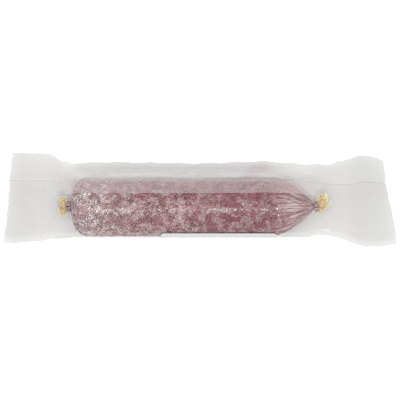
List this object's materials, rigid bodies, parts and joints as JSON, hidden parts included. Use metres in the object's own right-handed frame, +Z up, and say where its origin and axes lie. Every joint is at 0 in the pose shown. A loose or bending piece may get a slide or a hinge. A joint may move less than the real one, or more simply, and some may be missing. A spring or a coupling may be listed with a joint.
{
  "type": "cured sausage",
  "caption": "Dry-cured sausage, clipped at both ends and sealed in a clear film bag with a folded fin seal, crimped ends and a blank label.",
  "frame": {"origin": "middle of the bag's length and width, on the surface that it rests on", "axes": "+X along the sausage, towards its tapered end; +Y across it, towards the side that the bag's spare film and fin come from; +Z up"},
  "size_m": [0.3278, 0.0794, 0.0487],
  "materials": {
    "cured_meat": "satin",
    "clip": "satin",
    "dry_casing": "matte",
    "film": "gloss",
    "label_paper": "matte"
  },
  "bodies": {
    "root": {"sausage": "cured_meat", "end_clip_left": "clip", "end_clip_right": "clip", "casing_tuft_left": "dry_casing", "casing_tuft_right": "dry_casing", "film_bag": "film", "label": "label_paper"}
  },
  "joints": []
}
